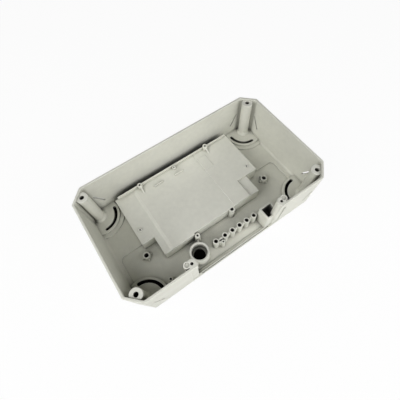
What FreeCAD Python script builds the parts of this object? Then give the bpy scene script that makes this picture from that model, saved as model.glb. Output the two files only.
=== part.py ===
import FreeCAD, Part
import math
import os

# Die cast housing: an open rectangular tray with clipped corners, cast in one piece.
# Frame: +X along the long side, +Y towards the full rear wall, +Z up; the origin is the
# middle of the footprint on the underside. The opening in the front wall is at -Y.
# All sizes are in mm. "In" sizes are measured inwards from the rim's outer faces, "rise"
# sizes upwards from the top of the floor, "drop" sizes down from the rim.

# --- tray ---
LENGTH = 240.0
WIDTH = 138.0
HEIGHT = 59.0
CLIP = 14.4              # leg of a clipped corner
WALL = 2.5
FLOOR = 3.6
DRAFT_DEG = 1.0          # every upright face leans by this much
OUTER_R = 3.0            # upright outer edges
UNDER_R = 2.5            # round the underside
FOOT_R = 3.0             # where the walls meet the floor
RIM_R = 0.5
SINK = 2.0               # how far raised features are rooted below the floor's top

# --- lowered front part of the floor ---
RECESS = 1.3
RECESS_IN_LEFT = 7.6
RECESS_IN_RIGHT = 11.2
RECESS_IN_FRONT = 6.4
RECESS_BACK_Y = -1.0
RECESS_R = 6.0

# --- cover screw pillars, one in each corner ---
PILLAR_IN_X = 11.8
PILLAR_IN_Y = 11.3
PILLAR_DROP = 1.6
PILLAR_R = 6.2
PILLAR_SPREAD = 0.6      # extra radius at the foot
FLARE = 2.0              # collar-like flare where a pillar meets its pad
FLARE_RISE = 3.0
PILLAR_HOLE_R = 2.5
PILLAR_HOLE_DEPTH = 26.0

# --- stepped round pads at the pillars' feet, with quarter-round slots ---
ARC_R = 19.7             # middle of the slot
ARC_WIDTH = 3.7
ARC_DEG = 90             # how far the slot runs round the pillar
PAD_BORDER = 4.7         # from the middle of the slot to the pad's edge
PAD_RISE = 3.0
STEP_BORDER = 5.0        # the rear pads have a lower outer step
STEP_RISE = 1.3
PAD_EDGE_R = 0.8
STEP_EDGE_R = 0.6
BOWL_DEPTH = 2.8         # shallow round hollow below each pad
BOWL_BORDER = 1.8
BOWL_IN = 5.5

# --- leaning slots through the walls beside the pillars ---
VENT_WIDTH = 2.2
VENT_NEAR = 7.4          # from the pillar's axis, at the slot's upper end
VENT_FAR = 16.4          # and at its lower end
VENT_RISE_LOW = 14.9
VENT_RISE_HIGH = 31.4

# --- raised table in the middle ---
TABLE_RISE = 16.9
TABLE_IN_LEFT = 37.0
TABLE_IN_RIGHT = 43.4
TABLE_IN_BACK = 11.6
TABLE_IN_FRONT = 38.4
JOG = 1.6                # the front face is set back from here to the right end
JOG_FROM_LEFT = 53.0
NOTCH_LEFT = 15.0        # notches in the two front corners
NOTCH_LEFT_DEPTH = 23.4
NOTCH_RIGHT = 15.2
NOTCH_RIGHT_DEPTH = 25.4
TABLE_SKIN = 3.2         # thickness over and round the hollow underneath
TABLE_STEP = 1.6         # the outer strips lie lower
SLOPE_FROM_LEFT = 22.0
SLOPE_RUN = 4.0
STEP_FROM_RIGHT = 28.4
FIELD = 51.0             # the right end of the table stands slightly proud
FIELD_RISE = 0.5
TABLE_EDGE_R = 0.7
HOLLOW_R = 2.0

# --- rib, ledges and bosses on the table ---
RIB_IN = 12.6
RIB_PROUD = 3.5
RIB_THICK = 1.5
RIB_END = 4.0            # how far the rib stops short of the table's left end
RIB_END_RIGHT = 2.1
REAR_BOSSES = (          # x, in from the rear, proud of the table, radius, hole radius
    (-49.9, 14.4, 6.0, 2.7, 1.25),
    (-3.6, 15.8, 3.5, 2.1, 0.9),
    (43.6, 14.2, 6.5, 3.0, 1.25))
BOSS_SPREAD = 0.3
BOSS_HOLE_DEPTH = 7.0
FIN_MIN_R = 2.5          # a boss wider than this has a fin in front of it
FIN_THICK = 1.6
FIN_LENGTH = 9.5
LEDGES = (               # x from, x to, in from the rear
    (-36.4, -23.2, 23.1),
    (-7.8, 4.2, 24.1))
LEDGE_THICK = 1.3
LEDGE_PROUD = 1.7
PLATE_WIDTH = 12.4       # low plate at the edge of the proud field
PLATE_DEPTH = 19.0
PLATE_IN = 31.0
PLATE_PROUD = 0.9
SEAT_HOLE_R = 1.0        # small screw seats near the table's ends
SEAT_HOLE_DEPTH = 8.0
SEAT_LEFT = (6.5, 15.9, 2.4)      # in from the table's end, behind the notch, radius
SEAT_RIGHT = (7.3, 9.2, 2.0)
SEAT_LEFT_PROUD = 1.2
SEAT_RIGHT_PROUD = 0.8
SEAT_BACKING = 1.6       # extra radius of the thickening below a seat

# --- bosses on the front face of the table ---
FACE_BOSSES = (          # x, in front of the table's front line, drop, radius, hole radius
    (-28.3, 2.4, 2.1, 3.0, 1.2),
    (21.2, -0.6, 1.3, 3.6, 2.0))
FACE_BOSS_SPREAD = 0.5
FACE_HOLE_DEPTH = 12.0

# --- floor bosses with through holes and four small fins each ---
FLOOR_BOSS_IN_LEFT = 34.3
FLOOR_BOSS_IN_RIGHT = 37.8
FLOOR_BOSS_IN_FRONT = 52.8
FLOOR_BOSS_RISE = 5.0
FLOOR_BOSS_R = 4.0
FLOOR_BOSS_HOLE_R = 2.6
FLOOR_FIN = 6.0
FLOOR_FIN_RISE = 2.4
STUD_IN_LEFT = 43.0      # small blind boss in the front left corner
STUD_IN_FRONT = 15.7
STUD_RISE = 4.4
STUD_R = 2.6
STUD_HOLE_R = 1.3
STUD_DEPTH = 5.0

# --- stepped round collar with a web to the left lug ---
COLLAR_X = -36.8
COLLAR_IN = 19.9
COLLAR_R = 10.7
COLLAR_BORE_R = 8.8
COLLAR_HOLE_R = 6.9
COLLAR_RISE = 15.4
COLLAR_SEAT_RISE = 2.0
ROUND_SPREAD = 0.4       # extra radius at the foot of collar and tubes
COLLAR_WEB = 2.6
COLLAR_WEB_RISE = 13.9

# --- row of small tubes joined by a web ---
TUBE_FIRST_X = -15.5
TUBE_ROW_X = -3.3
TUBE_PITCH = 10.07
TUBE_COUNT = 5           # evenly spaced tubes to the right of the first
TUBE_IN = 19.2
TUBE_R = 3.3
TUBE_HOLE_R = 2.2
TUBE_RISE = 14.4
WEB = 1.8
WEB_RISE = 12.8
SIDE_BOSS_X = -9.0       # small blind boss beside the row
SIDE_BOSS_IN = 14.6
SIDE_BOSS_R = 2.1
SIDE_BOSS_RISE = 13.4
SIDE_BOSS_HOLE_R = 0.9
SIDE_BOSS_DEPTH = 8.0

# --- opening in the front wall, with a screw lug at each end ---
GATE = 100.0
GATE_R = 4.0             # rounds at its two lower corners
SILL_RISE = 1.8
GROOVE_IN = 2.1          # shallow groove along the sill
GROOVE = 0.8
LUG_OUT = 3.4            # lug axis beyond the opening's end
LUG_IN = 5.1
LUG_R = 4.5
LUG_HOLE_R = 1.5
LUG_HOLE_DEPTH = 16.0
LOBE_OUT = 4.3           # lobe beside the lug
LOBE_IN = 1.6
LOBE_R = 3.6
LOBE_LOW_RISE = 16.4
LOBE_DROP = 0.6
DIMPLE_R = 2.3
DIMPLE_DEPTH = 0.8
FLAT_OUT = 8.0           # shallow flats on the outer face below the lugs
FLAT_DEPTH = 1.3
FLAT_RISE = 5.4
FLAT_DROP = 9.0

# --- pocketed block at the right end of the opening ---
BLOCK_OUT = 8.0
BLOCK_WIDTH = 16.4
BLOCK_DEPTH = 15.2
BLOCK_IN = 3.4
BLOCK_RISE = 26.4
BLOCK_RIM = 1.9
BLOCK_SEAT_RISE = 7.4
BLOCK_EDGE_R = 1.5
POCKET_R = 1.2

# --- levels and lines that follow from the sizes above ---
DRAFT = math.tan(math.radians(DRAFT_DEG))
MARGIN = 1.0             # how far cutting tools run past the faces they cut
half_x, half_y = LENGTH / 2, WIDTH / 2
root_z = FLOOR - SINK
pad_z = FLOOR + PAD_RISE
table_z = FLOOR + TABLE_RISE
field_z = table_z + FIELD_RISE
strip_z = table_z - TABLE_STEP
table_left, table_right = -half_x + TABLE_IN_LEFT, half_x - TABLE_IN_RIGHT
table_back, table_front = half_y - TABLE_IN_BACK, -half_y + TABLE_IN_FRONT
front_line = table_front + JOG
notch_left_y = table_front + NOTCH_LEFT_DEPTH
notch_right_y = table_front + NOTCH_RIGHT_DEPTH
up = FreeCAD.Vector(0, 0, 1)


def vec(x, y, z=0.0):
    return FreeCAD.Vector(x, y, z)


def clipped(reach_x, reach_y, leg):
    """Corner points of a rectangle with its four corners clipped, counter-clockwise."""
    right = [(reach_x, leg - reach_y), (reach_x, reach_y - leg), (reach_x - leg, reach_y)]
    left = [(leg - reach_x, reach_y), (-reach_x, reach_y - leg), (-reach_x, leg - reach_y)]
    return right + left + [(leg - reach_x, -reach_y), (reach_x - leg, -reach_y)]


def inset(points, distance):
    """The counter-clockwise outline with each side moved inwards by one distance."""
    moved = []
    for i, (x, y) in enumerate(points):
        x0, y0 = points[i - 1]
        x1, y1 = points[(i + 1) % len(points)]
        before, after = math.atan2(y - y0, x - x0), math.atan2(y1 - y, x1 - x)
        half_turn = math.remainder(after - before, 2 * math.pi) / 2
        reach = distance / math.cos(half_turn)
        inwards = before + half_turn + math.pi / 2
        moved.append((x + reach * math.cos(inwards), y + reach * math.sin(inwards)))
    return moved


def between(lower, z0, upper, z1):
    """Solid with flat sides between two outlines of as many points."""
    low = [vec(x, y, z0) for x, y in lower]
    high = [vec(x, y, z1) for x, y in upper]
    rings = [low[::-1], high]
    for i in range(len(low)):
        rings.append([low[i - 1], low[i], high[i], high[i - 1]])
    faces = [Part.Face(Part.makePolygon(ring + ring[:1])) for ring in rings]
    return Part.makeSolid(Part.makeShell(faces))


def spread(points, z0, z1):
    """Solid with its outline at z1, that widens downwards to z0 by the draft."""
    return between(inset(points, (z0 - z1) * DRAFT), z0, points, z1)


def round_bar(x, y, z0, z1, r0, r1=None):
    """Upright round bar from z0 to z1, tapered when r1 is given."""
    if r1 is None:
        return Part.makeCylinder(r0, z1 - z0, vec(x, y, z0))
    return Part.makeCone(r0, r1, z1 - z0, vec(x, y, z0))


def web(x0, y0, x1, y1, z0, z1, thick):
    """Upright flat web between two points."""
    length = math.hypot(x1 - x0, y1 - y0)
    plate = Part.makeBox(length, thick, z1 - z0, vec(0, -thick / 2, 0))
    plate.rotate(vec(0, 0), up, math.degrees(math.atan2(y1 - y0, x1 - x0)))
    plate.translate(vec(x0, y0, z0))
    return plate


def upright(shape):
    """Edges that run up and down."""
    ends = [(e, e.Vertexes[0].Point.z, e.Vertexes[-1].Point.z) for e in shape.Edges]
    return [e for e, a, b in ends if abs(a - b) > 0.8 * e.Length]


def level(shape, z):
    """Edges lying at height z."""
    boxes = [(e, e.BoundBox) for e in shape.Edges]
    return [e for e, b in boxes if abs(b.ZMin - z) < 1e-4 and abs(b.ZMax - z) < 1e-4]


def make_tray():
    """Drafted walls and floor, with the lowered part of the floor."""
    rim = clipped(half_x, half_y, CLIP)
    outer = between(inset(rim, HEIGHT * DRAFT), 0.0, rim, HEIGHT)
    outer = outer.makeFillet(OUTER_R, upright(outer))
    outer = outer.makeFillet(UNDER_R, level(outer, 0.0))
    foot = inset(rim, WALL + (HEIGHT - FLOOR) * DRAFT)
    cavity = between(foot, FLOOR, inset(rim, WALL), HEIGHT)
    cavity = cavity.makeFillet(FOOT_R, upright(cavity))
    cavity = cavity.makeFillet(FOOT_R, level(cavity, FLOOR))
    tray = outer.cut(cavity)
    tray = tray.makeFillet(RIM_R, level(tray, HEIGHT))

    left, front = -half_x + RECESS_IN_LEFT, -half_y + RECESS_IN_FRONT
    recess = Part.makeBox(half_x - RECESS_IN_RIGHT - left, RECESS_BACK_Y - front, FOOT_R + RECESS,
                          vec(left, front, FLOOR - RECESS))
    return outer, tray.cut(recess.makeFillet(RECESS_R, upright(recess)))


def corner_features(sx, sy):
    """Pillar, stepped pad, quarter-round slot, wall slots and bowl of one corner."""
    px, py = sx * (half_x - PILLAR_IN_X), sy * (half_y - PILLAR_IN_Y)
    top = HEIGHT - PILLAR_DROP
    foot = PILLAR_R + PILLAR_SPREAD
    pad = round_bar(px, py, root_z, pad_z, ARC_R + PAD_BORDER)
    adds = [round_bar(px, py, root_z, top, foot, PILLAR_R),
            round_bar(px, py, pad_z, pad_z + FLARE_RISE, foot + FLARE, foot),
            pad.makeFillet(PAD_EDGE_R, level(pad, pad_z))]
    if sy > 0:
        step_z = FLOOR + STEP_RISE
        step = round_bar(px, py, root_z, step_z, ARC_R + PAD_BORDER + STEP_BORDER)
        adds.append(step.makeFillet(STEP_EDGE_R, level(step, step_z)))
    cuts = [round_bar(px, py, top - PILLAR_HOLE_DEPTH, HEIGHT + MARGIN, PILLAR_HOLE_R)]

    # quarter-round slot facing the middle of the tray
    start = {(-1, -1): 0, (1, -1): 90, (1, 1): 180, (-1, 1): 270}[(sx, sy)]
    through = pad_z + 2 * MARGIN
    foot_at = vec(px, py, -MARGIN)
    slot = Part.makeCylinder(ARC_R + ARC_WIDTH / 2, through, foot_at, up, ARC_DEG)
    slot = slot.cut(Part.makeCylinder(ARC_R - ARC_WIDTH / 2, through, foot_at, up, ARC_DEG))
    slot.rotate(vec(px, py), up, start)
    ends = []
    for turn in (math.radians(start), math.radians(start + ARC_DEG)):
        ends.append(round_bar(px + ARC_R * math.cos(turn), py + ARC_R * math.sin(turn),
                              -MARGIN, pad_z + MARGIN, ARC_WIDTH / 2))
    cuts.append(slot.fuse(ends).removeSplitter())

    # leaning slots through the two walls beside the pillar
    rise = VENT_RISE_HIGH - VENT_RISE_LOW
    length = math.hypot(rise, VENT_FAR - VENT_NEAR)
    lean = math.degrees(math.atan2(rise, VENT_FAR - VENT_NEAR))
    middle = (VENT_FAR + VENT_NEAR) / 2
    middle_z = FLOOR + (VENT_RISE_HIGH + VENT_RISE_LOW) / 2
    reach = 3 * WALL
    slit = Part.makeBox(length, reach, VENT_WIDTH, vec(-length / 2, -reach / 2, -VENT_WIDTH / 2))
    slit.rotate(vec(0, 0), vec(0, 1, 0), -lean * sx)
    slit.translate(vec(px - sx * middle, sy * half_y, middle_z))
    cuts.append(slit)
    slit = Part.makeBox(reach, length, VENT_WIDTH, vec(-reach / 2, -length / 2, -VENT_WIDTH / 2))
    slit.rotate(vec(0, 0), vec(1, 0, 0), lean * sy)
    slit.translate(vec(sx * half_x, py - sy * middle, middle_z))
    cuts.append(slit)

    # shallow hollow below the pad, kept inside the walls
    bowl = round_bar(px, py, -MARGIN, BOWL_DEPTH, ARC_R + PAD_BORDER - BOWL_BORDER)
    limit = clipped(half_x - BOWL_IN, half_y - BOWL_IN, CLIP)
    cuts.append(bowl.common(between(limit, -MARGIN, limit, BOWL_DEPTH)))
    return adds, cuts


def make_table():
    """Raised table with its notches, steps and slope, and the hollow below it."""
    notch_left, notch_right = table_left + NOTCH_LEFT, table_right - NOTCH_RIGHT
    jog_x = table_left + JOG_FROM_LEFT
    rear = [(table_right, notch_right_y), (table_right, table_back), (table_left, table_back),
            (table_left, notch_left_y), (notch_left, notch_left_y)]
    front = [(notch_left, table_front), (jog_x, table_front), (jog_x, front_line),
             (notch_right, front_line), (notch_right, notch_right_y)]
    table = spread(rear + front, root_z, field_z)
    table = table.makeFillet(TABLE_EDGE_R, upright(table))

    # the left strip slopes off, the right front strip steps down, the field stays proud
    slope_x = table_left + SLOPE_FROM_LEFT
    above = field_z + MARGIN
    profile = [vec(table_left - SINK, 0, strip_z), vec(slope_x, 0, strip_z),
               vec(slope_x + SLOPE_RUN, 0, table_z), vec(slope_x + SLOPE_RUN, 0, above),
               vec(table_left - SINK, 0, above)]
    strip = Part.Face(Part.makePolygon(profile + profile[:1])).extrude(vec(0, WIDTH, 0))
    strip.translate(vec(0, -half_y, 0))
    field_x = table_right - FIELD
    plain = Part.makeBox(field_x - slope_x, WIDTH, above - table_z, vec(slope_x, -half_y, table_z))
    side = Part.makeBox(STEP_FROM_RIGHT, notch_right_y + half_y, above - strip_z,
                        vec(table_right - STEP_FROM_RIGHT, -half_y, strip_z))
    table = table.cut([strip, plain, side])

    under = rear + [(notch_left, front_line), (notch_right, front_line),
                    (notch_right, notch_right_y)]
    hollow = spread(inset(under, TABLE_SKIN), -MARGIN, strip_z - TABLE_SKIN)
    hollow = hollow.makeFillet(HOLLOW_R, upright(hollow))
    return table.cut(hollow), hollow


def table_features():
    """Rear rib and bosses, ledges, plate and seats on the table, bosses on its front face."""
    adds, cuts = [], []
    rib_y = half_y - RIB_IN
    adds.append(web(table_left + RIB_END, rib_y, table_right - RIB_END_RIGHT, rib_y,
                    strip_z - SINK, table_z + RIB_PROUD, RIB_THICK))
    for x, back_in, proud, r, hole_r in REAR_BOSSES:
        y, top = half_y - back_in, table_z + proud
        adds.append(round_bar(x, y, table_z - SINK, top, r + BOSS_SPREAD, r))
        cuts.append(round_bar(x, y, top - BOSS_HOLE_DEPTH, top + MARGIN, hole_r))
        if r > FIN_MIN_R:
            low = table_z - SINK
            side = [vec(x - FIN_THICK / 2, y, low), vec(x - FIN_THICK / 2, y - FIN_LENGTH, low),
                    vec(x - FIN_THICK / 2, y - FIN_LENGTH + 1, table_z + 1),
                    vec(x - FIN_THICK / 2, y, top - 1)]
            fin = Part.Face(Part.makePolygon(side + side[:1]))
            adds.append(fin.extrude(vec(FIN_THICK, 0, 0)))
    for x0, x1, back_in in LEDGES:
        y = half_y - back_in
        adds.append(web(x0, y, x1, y, table_z - SINK, table_z + LEDGE_PROUD, LEDGE_THICK))
    plate_x, plate_y = table_right - FIELD, half_y - PLATE_IN
    adds.append(web(plate_x, plate_y, plate_x + PLATE_WIDTH, plate_y,
                    table_z - SINK, table_z + PLATE_PROUD, PLATE_DEPTH))

    ceiling = strip_z - TABLE_SKIN
    left_in, left_behind, left_r = SEAT_LEFT
    right_in, right_behind, right_r = SEAT_RIGHT
    seats = [(table_left + left_in, notch_left_y + left_behind, left_r, strip_z + SEAT_LEFT_PROUD),
             (table_right - right_in, notch_right_y + right_behind, right_r,
              field_z + SEAT_RIGHT_PROUD)]
    for x, y, r, top in seats:
        backing = top - SEAT_HOLE_DEPTH - SINK
        adds.append(round_bar(x, y, ceiling, top, r))
        adds.append(round_bar(x, y, backing, ceiling + MARGIN, r + SEAT_BACKING))
        cuts.append(round_bar(x, y, top - SEAT_HOLE_DEPTH, top + MARGIN, SEAT_HOLE_R))

    for x, ahead, drop, r, hole_r in FACE_BOSSES:
        y, top = table_front - ahead, table_z - drop
        adds.append(round_bar(x, y, root_z, top, r + FACE_BOSS_SPREAD, r))
        cuts.append(round_bar(x, y, top - FACE_HOLE_DEPTH, top + MARGIN, hole_r))
    return adds, cuts


def floor_features():
    """Bosses on the floor, the collar and the row of tubes."""
    adds, cuts = [], []
    y = -half_y + FLOOR_BOSS_IN_FRONT
    for x in (-half_x + FLOOR_BOSS_IN_LEFT, half_x - FLOOR_BOSS_IN_RIGHT):
        top = FLOOR + FLOOR_BOSS_RISE
        adds.append(round_bar(x, y, root_z, top, FLOOR_BOSS_R + ROUND_SPREAD, FLOOR_BOSS_R))
        fin_z = FLOOR + FLOOR_FIN_RISE
        adds.append(web(x - FLOOR_FIN, y, x + FLOOR_FIN, y, root_z, fin_z, FIN_THICK))
        adds.append(web(x, y - FLOOR_FIN, x, y + FLOOR_FIN, root_z, fin_z, FIN_THICK))
        cuts.append(round_bar(x, y, -MARGIN, top + MARGIN, FLOOR_BOSS_HOLE_R))
    x, y, top = -half_x + STUD_IN_LEFT, -half_y + STUD_IN_FRONT, FLOOR + STUD_RISE
    adds.append(round_bar(x, y, root_z, top, STUD_R + BOSS_SPREAD, STUD_R))
    cuts.append(round_bar(x, y, top - STUD_DEPTH, top + MARGIN, STUD_HOLE_R))

    # collar, tied to the left lug by one web and to the table's first boss by another
    y, top = -half_y + COLLAR_IN, FLOOR + COLLAR_RISE
    adds.append(round_bar(COLLAR_X, y, root_z, top, COLLAR_R + ROUND_SPREAD, COLLAR_R))
    lug_x, lug_y = -GATE / 2 - LUG_OUT, -half_y + LUG_IN
    adds.append(web(COLLAR_X, y, lug_x, lug_y, root_z, FLOOR + COLLAR_WEB_RISE, COLLAR_WEB))
    boss_x, boss_y = FACE_BOSSES[0][0], table_front - FACE_BOSSES[0][1]
    adds.append(web(boss_x, boss_y, COLLAR_X, y, root_z, FLOOR + WEB_RISE - 2 * WEB, WEB))
    cuts.append(round_bar(COLLAR_X, y, FLOOR + COLLAR_SEAT_RISE, top + MARGIN, COLLAR_BORE_R))
    cuts.append(round_bar(COLLAR_X, y, -MARGIN, top, COLLAR_HOLE_R))

    # tubes with through holes, and a small blind boss beside the first two
    y, top, web_z = -half_y + TUBE_IN, FLOOR + TUBE_RISE, FLOOR + WEB_RISE
    row = [TUBE_FIRST_X] + [TUBE_ROW_X + i * TUBE_PITCH for i in range(TUBE_COUNT)]
    for x in row:
        adds.append(round_bar(x, y, root_z, top, TUBE_R + ROUND_SPREAD, TUBE_R))
        cuts.append(round_bar(x, y, -MARGIN, top + MARGIN, TUBE_HOLE_R))
    adds.append(web(row[0], y, row[-1], y, root_z, web_z, WEB))
    boss_y, top = -half_y + SIDE_BOSS_IN, FLOOR + SIDE_BOSS_RISE
    adds.append(web(row[0], y, SIDE_BOSS_X, boss_y, root_z, web_z, WEB))
    adds.append(round_bar(SIDE_BOSS_X, boss_y, root_z, top, SIDE_BOSS_R + ROUND_SPREAD, SIDE_BOSS_R))
    cuts.append(round_bar(SIDE_BOSS_X, boss_y, top - SIDE_BOSS_DEPTH, top + MARGIN, SIDE_BOSS_HOLE_R))
    return adds, cuts


def make_gate():
    """What the opening in the front wall takes away."""
    sill_z = FLOOR + SILL_RISE
    depth = 3 * WALL
    gate = Part.makeBox(GATE, depth + MARGIN, HEIGHT, vec(-GATE / 2, -half_y - MARGIN, sill_z))
    gate = gate.makeFillet(GATE_R, [e for e in level(gate, sill_z) if e.BoundBox.YLength > depth])
    reach, y = GATE / 2 - GATE_R, -half_y + GROOVE_IN
    return [gate, web(-reach, y, reach, y, sill_z - GROOVE, sill_z + MARGIN, GROOVE)]


def lug_features(sx):
    """Screw lug, its lobe with a dimple, and the flat below it, at one end of the opening."""
    x, y = sx * (GATE / 2 + LUG_OUT), -half_y + LUG_IN
    lobe_x, lobe_y, lobe_z = x + sx * LOBE_OUT, y + LOBE_IN, HEIGHT - LOBE_DROP
    adds = [round_bar(x, y, root_z, HEIGHT, LUG_R + BOSS_SPREAD, LUG_R),
            round_bar(lobe_x, lobe_y, FLOOR + LOBE_LOW_RISE, lobe_z, LOBE_R)]
    cuts = [round_bar(x, y, HEIGHT - LUG_HOLE_DEPTH, HEIGHT + MARGIN, LUG_HOLE_R),
            round_bar(lobe_x, lobe_y, lobe_z - DIMPLE_DEPTH, HEIGHT + MARGIN, DIMPLE_R)]
    flat_z = FLOOR + FLAT_RISE
    width = FLAT_OUT + MARGIN
    flat = Part.makeBox(width, FLAT_DEPTH + MARGIN, HEIGHT - FLAT_DROP - flat_z,
                        vec(GATE / 2 - MARGIN, -half_y - MARGIN, flat_z))
    cuts.append(flat if sx > 0 else flat.mirror(vec(0, 0), vec(1, 0, 0)))
    return adds, cuts


def make_block():
    """Block with a rectangular pocket, at the right end of the opening."""
    right, front = GATE / 2 + BLOCK_OUT, -half_y + BLOCK_IN
    left, back, top = right - BLOCK_WIDTH, front + BLOCK_DEPTH, FLOOR + BLOCK_RISE
    block = spread([(left, front), (right, front), (right, back), (left, back)], root_z, top)
    seat_z = FLOOR + BLOCK_SEAT_RISE
    pocket = Part.makeBox(BLOCK_WIDTH - 2 * BLOCK_RIM, BLOCK_DEPTH - 2 * BLOCK_RIM,
                          top - seat_z + MARGIN, vec(left + BLOCK_RIM, front + BLOCK_RIM, seat_z))
    block = block.makeFillet(BLOCK_EDGE_R, upright(block))
    return block.cut(pocket.makeFillet(POCKET_R, upright(pocket)))


# --- one casting ---
outer, tray = make_tray()
table, hollow = make_table()
tray = tray.cut([hollow] + make_gate())
raised, cuts = [table, make_block()], []
groups = [corner_features(sx, sy) for sx in (-1, 1) for sy in (-1, 1)]
groups += [table_features(), floor_features(), lug_features(-1), lug_features(1)]
for adds, holes in groups:
    raised += adds
    cuts += holes
inside = raised[0].fuse(raised[1:]).common(outer)
housing = tray.fuse(inside).cut(cuts).removeSplitter()
if len(housing.Solids) == 1:
    housing = housing.Solids[0]

os.makedirs("parts", exist_ok=True)
housing.exportStep("parts/housing.step")
print("housing:", "valid" if housing.isValid() else "not valid", round(housing.Volume / 1000, 1), "cm3")
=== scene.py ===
import bpy
from mathutils import Matrix, Vector


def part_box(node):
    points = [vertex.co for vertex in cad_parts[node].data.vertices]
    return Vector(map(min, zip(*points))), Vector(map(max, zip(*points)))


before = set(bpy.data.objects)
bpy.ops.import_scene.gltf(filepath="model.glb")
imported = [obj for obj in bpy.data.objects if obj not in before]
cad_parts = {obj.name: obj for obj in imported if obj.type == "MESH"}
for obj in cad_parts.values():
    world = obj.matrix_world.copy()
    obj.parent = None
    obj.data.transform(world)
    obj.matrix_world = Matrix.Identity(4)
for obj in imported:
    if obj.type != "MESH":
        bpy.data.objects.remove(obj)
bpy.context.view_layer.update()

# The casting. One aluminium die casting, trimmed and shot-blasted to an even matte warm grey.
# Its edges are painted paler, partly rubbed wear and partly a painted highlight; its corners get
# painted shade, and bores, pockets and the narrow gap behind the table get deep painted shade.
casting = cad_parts["housing"]
skin_colour = (0.715, 0.715, 0.640, 1.0)
corner_shade_colour = (0.430, 0.425, 0.365, 1.0)
rubbed_and_highlight_colour = (0.860, 0.855, 0.800, 1.0)
patch_size, fleck_size, grain_size = 0.045, 0.005, 0.0007
patch_tones, fleck_tones = (0.95, 1.04), (0.97, 1.02)
edge_width = 0.0008
edge_turns = (0.985, 0.85)
corner_shade_reach, hole_shade_reach = 0.006, 0.025
hole_shade_tone = 0.12
roughness = (0.50, 0.66)
rubbed_gloss = 0.16
grain_height = 0.00006

finish = bpy.data.materials.new("cast_aluminium")
finish.use_nodes = True
nodes, links = finish.node_tree.nodes, finish.node_tree.links
place = nodes.new("ShaderNodeTexCoord")
shader = nodes["Principled BSDF"]
shader.inputs["Metallic"].default_value = 0.12
shader.inputs["Specular IOR Level"].default_value = 0.4


def noise(size, detail):
    """Cloudy pattern of one size."""
    node = nodes.new("ShaderNodeTexNoise")
    node.inputs["Scale"].default_value = 1 / size
    node.inputs["Detail"].default_value = detail
    links.new(place.outputs["Object"], node.inputs["Vector"])
    return node.outputs["Fac"]


def ramp(value, start, end, low=0.0, high=1.0):
    """Goes from low to high as the value goes from start to end."""
    node = nodes.new("ShaderNodeMapRange")
    ends = {"From Min": start, "From Max": end, "To Min": low, "To Max": high}
    for name, number in ends.items():
        node.inputs[name].default_value = number
    links.new(value, node.inputs["Value"])
    return node.outputs["Result"]


def product(first, second):
    """One value times another."""
    node = nodes.new("ShaderNodeMath")
    node.operation = "MULTIPLY"
    links.new(first, node.inputs[0])
    links.new(second, node.inputs[1])
    return node.outputs[0]


def openness(reach):
    """How freely a place lies, from shut in to open."""
    node = nodes.new("ShaderNodeAmbientOcclusion")
    node.samples = 8
    node.inputs["Distance"].default_value = reach
    return node.outputs["AO"]


def mix(share, first, second):
    """Colour between two others; each is a colour or a socket."""
    node = nodes.new("ShaderNodeMix")
    node.data_type = "RGBA"
    links.new(share, node.inputs["Factor"])
    for socket, colour in ((node.inputs[6], first), (node.inputs[7], second)):
        if isinstance(colour, tuple):
            socket.default_value = colour
        else:
            links.new(colour, socket)
    return node.outputs[2]


patches = noise(patch_size, 4.0)
flecks = noise(fleck_size, 3.0)
mottle = product(ramp(patches, 0.3, 0.7, *patch_tones), ramp(flecks, 0.3, 0.7, *fleck_tones))
# Painted shade: the colour goes darker towards the corner colour where the casting is shut in.
corners_open = openness(corner_shade_reach)
skin_and_corner_shade = mix(ramp(corners_open, 0.35, 0.85), corner_shade_colour, skin_colour)
# Painted shade: bores, pockets and narrow gaps go almost black where the casting is deeply shut in.
painted_hole_shade = ramp(openness(hole_shade_reach), 0.12, 0.34, hole_shade_tone, 1.0)
shade = nodes.new("ShaderNodeVectorMath")
shade.operation = "SCALE"
links.new(skin_and_corner_shade, shade.inputs[0])
links.new(product(mottle, painted_hole_shade), shade.inputs["Scale"])

rounding = nodes.new("ShaderNodeBevel")
rounding.samples = 8
rounding.inputs["Radius"].default_value = edge_width
face = nodes.new("ShaderNodeNewGeometry")
turn = nodes.new("ShaderNodeVectorMath")
turn.operation = "DOT_PRODUCT"
links.new(rounding.outputs["Normal"], turn.inputs[0])
links.new(face.outputs["Normal"], turn.inputs[1])
# Partly rubbed wear, partly painted highlight: sharp edges are painted paler, away from shut-in
# corners.
rubbed_and_highlight = product(ramp(turn.outputs["Value"], *edge_turns), ramp(corners_open, 0.55, 0.80))
links.new(mix(rubbed_and_highlight, shade.outputs["Vector"], rubbed_and_highlight_colour), shader.inputs["Base Color"])

smooth = nodes.new("ShaderNodeMath")
smooth.operation = "MULTIPLY_ADD"
smooth.inputs[1].default_value = -rubbed_gloss
links.new(rubbed_and_highlight, smooth.inputs[0])
links.new(ramp(patches, 0.0, 1.0, *roughness), smooth.inputs[2])
links.new(smooth.outputs[0], shader.inputs["Roughness"])

blasting = nodes.new("ShaderNodeBump")
blasting.inputs["Strength"].default_value = 0.35
blasting.inputs["Distance"].default_value = grain_height
links.new(noise(grain_size, 3.0), blasting.inputs["Height"])
links.new(rounding.outputs["Normal"], blasting.inputs["Normal"])
links.new(blasting.outputs["Normal"], shader.inputs["Normal"])

for slot in casting.material_slots:
    slot.material = finish

# The board it stands on: plain, pale and matte. It glows where it is looked at, so that it stays
# white round the casting, and still takes a little of the casting's shadow.
board_reach = 4.0
board_gap = 0.0002
glow_share = 0.94
low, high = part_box("housing")
board_z = low.z - board_gap
board_mesh = bpy.data.meshes.new("floor")
board_mesh.from_pydata([(-board_reach, -board_reach, board_z), (board_reach, -board_reach, board_z),
                        (board_reach, board_reach, board_z), (-board_reach, board_reach, board_z)],
                       [], [(0, 1, 2, 3)])
board = bpy.data.objects.new("floor", board_mesh)
bpy.context.collection.objects.link(board)

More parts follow.
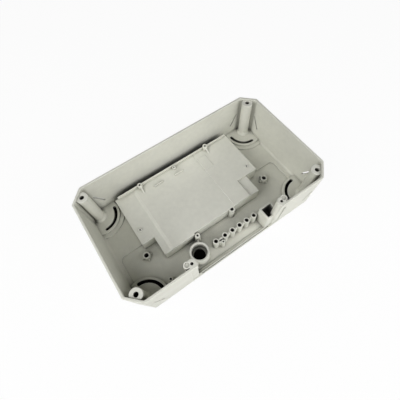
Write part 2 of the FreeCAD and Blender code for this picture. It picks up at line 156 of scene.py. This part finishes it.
pale = bpy.data.materials.new("pale_board")
pale.use_nodes = True
nodes, links = pale.node_tree.nodes, pale.node_tree.links
paint = nodes["Principled BSDF"]
paint.inputs["Base Color"].default_value = (0.85, 0.85, 0.85, 1.0)
paint.inputs["Roughness"].default_value = 0.9
paint.inputs["Specular IOR Level"].default_value = 0.1
glow = nodes.new("ShaderNodeEmission")
glow.inputs["Strength"].default_value = 1.0
path = nodes.new("ShaderNodeLightPath")
seen = nodes.new("ShaderNodeMath")
seen.operation = "MAXIMUM"
links.new(path.outputs["Is Camera Ray"], seen.inputs[0])
links.new(path.outputs["Is Glossy Ray"], seen.inputs[1])
share = nodes.new("ShaderNodeMath")
share.operation = "MULTIPLY"
share.inputs[1].default_value = glow_share
links.new(seen.outputs[0], share.inputs[0])
white = nodes.new("ShaderNodeMixShader")
links.new(share.outputs[0], white.inputs[0])
links.new(paint.outputs[0], white.inputs[1])
links.new(glow.outputs[0], white.inputs[2])
links.new(white.outputs[0], nodes["Material Output"].inputs["Surface"])
board.data.materials.append(pale)

# Painted shade under the casting, seen through its holes: a black card with clipped corners, laid
# on the board and kept inside the casting's foot all round, standing in for the shade there.
card_margin = 0.006
corner_leg = 0.0144
card_z = low.z - board_gap / 2
card_x, card_y = high.x - card_margin, high.y - card_margin
corners = [(card_x, card_y - corner_leg), (card_x - corner_leg, card_y)]
corners += [(-x, y) for x, y in reversed(corners)]
corners += [(-x, -y) for x, y in corners]
shade_card_mesh = bpy.data.meshes.new("painted_shade_card")
shade_card_mesh.from_pydata([(x, y, card_z) for x, y in corners], [], [tuple(range(len(corners)))])
shade_card = bpy.data.objects.new("painted_shade_card", shade_card_mesh)
bpy.context.collection.objects.link(shade_card)

shade_black = bpy.data.materials.new("painted_shade_card_black")
shade_black.use_nodes = True
shade_card_surface = shade_black.node_tree.nodes["Principled BSDF"]
shade_card_surface.inputs["Base Color"].default_value = (0.012, 0.011, 0.010, 1.0)
shade_card_surface.inputs["Roughness"].default_value = 1.0
shade_card_surface.inputs["Specular IOR Level"].default_value = 0.0
shade_card.data.materials.append(shade_black)

# Soft studio light: square soft boxes all round the casting, each aimed at its middle, in a room
# that is dark otherwise. Where it stands, in metres, and its power in watts.
soft_box = 0.5
lamps = {
    "front": ((0.0, -0.772, 0.463), 2.94),
    "left": ((-0.772, 0.0, 0.463), 3.74),
    "front_right": ((0.544, -0.544, 0.466), 2.99),
    "back": ((0.0, 0.703, 0.562), 0.40),
    "high_front_left": ((-0.367, -0.367, 0.735), 1.09),
    "high_left": ((-0.514, 0.073, 0.735), 1.14),
}
for name, (stand, power) in lamps.items():
    data = bpy.data.lights.new(name, "AREA")
    data.size = soft_box
    data.energy = power
    lamp = bpy.data.objects.new(name, data)
    lamp.location = Vector(stand)
    lamp.rotation_euler = Vector(stand).to_track_quat("Z", "Y").to_euler()
    bpy.context.collection.objects.link(lamp)

room = bpy.data.worlds.new("studio")
room.use_nodes = True
room.node_tree.nodes["Background"].inputs["Color"].default_value = (1.0, 1.0, 1.0, 1.0)
room.node_tree.nodes["Background"].inputs["Strength"].default_value = 0.0
bpy.context.scene.world = room

# The camera: close above the casting and a little in front of it, looking down into the tray.
view = bpy.data.cameras.new("camera")
view.lens = 24.92
view.sensor_width = 36.0
view.clip_start = 0.01
camera = bpy.data.objects.new("camera", view)
stand = Vector((-0.0714, -0.1189, 0.3081))
ahead = Vector((0.21745513, 0.37247354, -0.90220659)).normalized()
above = Vector((0.82193743, -0.5684035, -0.03655566)).cross(ahead).normalized()
across = ahead.cross(above)
camera.matrix_world = Matrix((
    (across.x, above.x, -ahead.x, stand.x),
    (across.y, above.y, -ahead.y, stand.y),
    (across.z, above.z, -ahead.z, stand.z),
    (0.0, 0.0, 0.0, 1.0)))
bpy.context.collection.objects.link(camera)
bpy.context.scene.camera = camera
bpy.context.scene.view_settings.view_transform = "Standard"
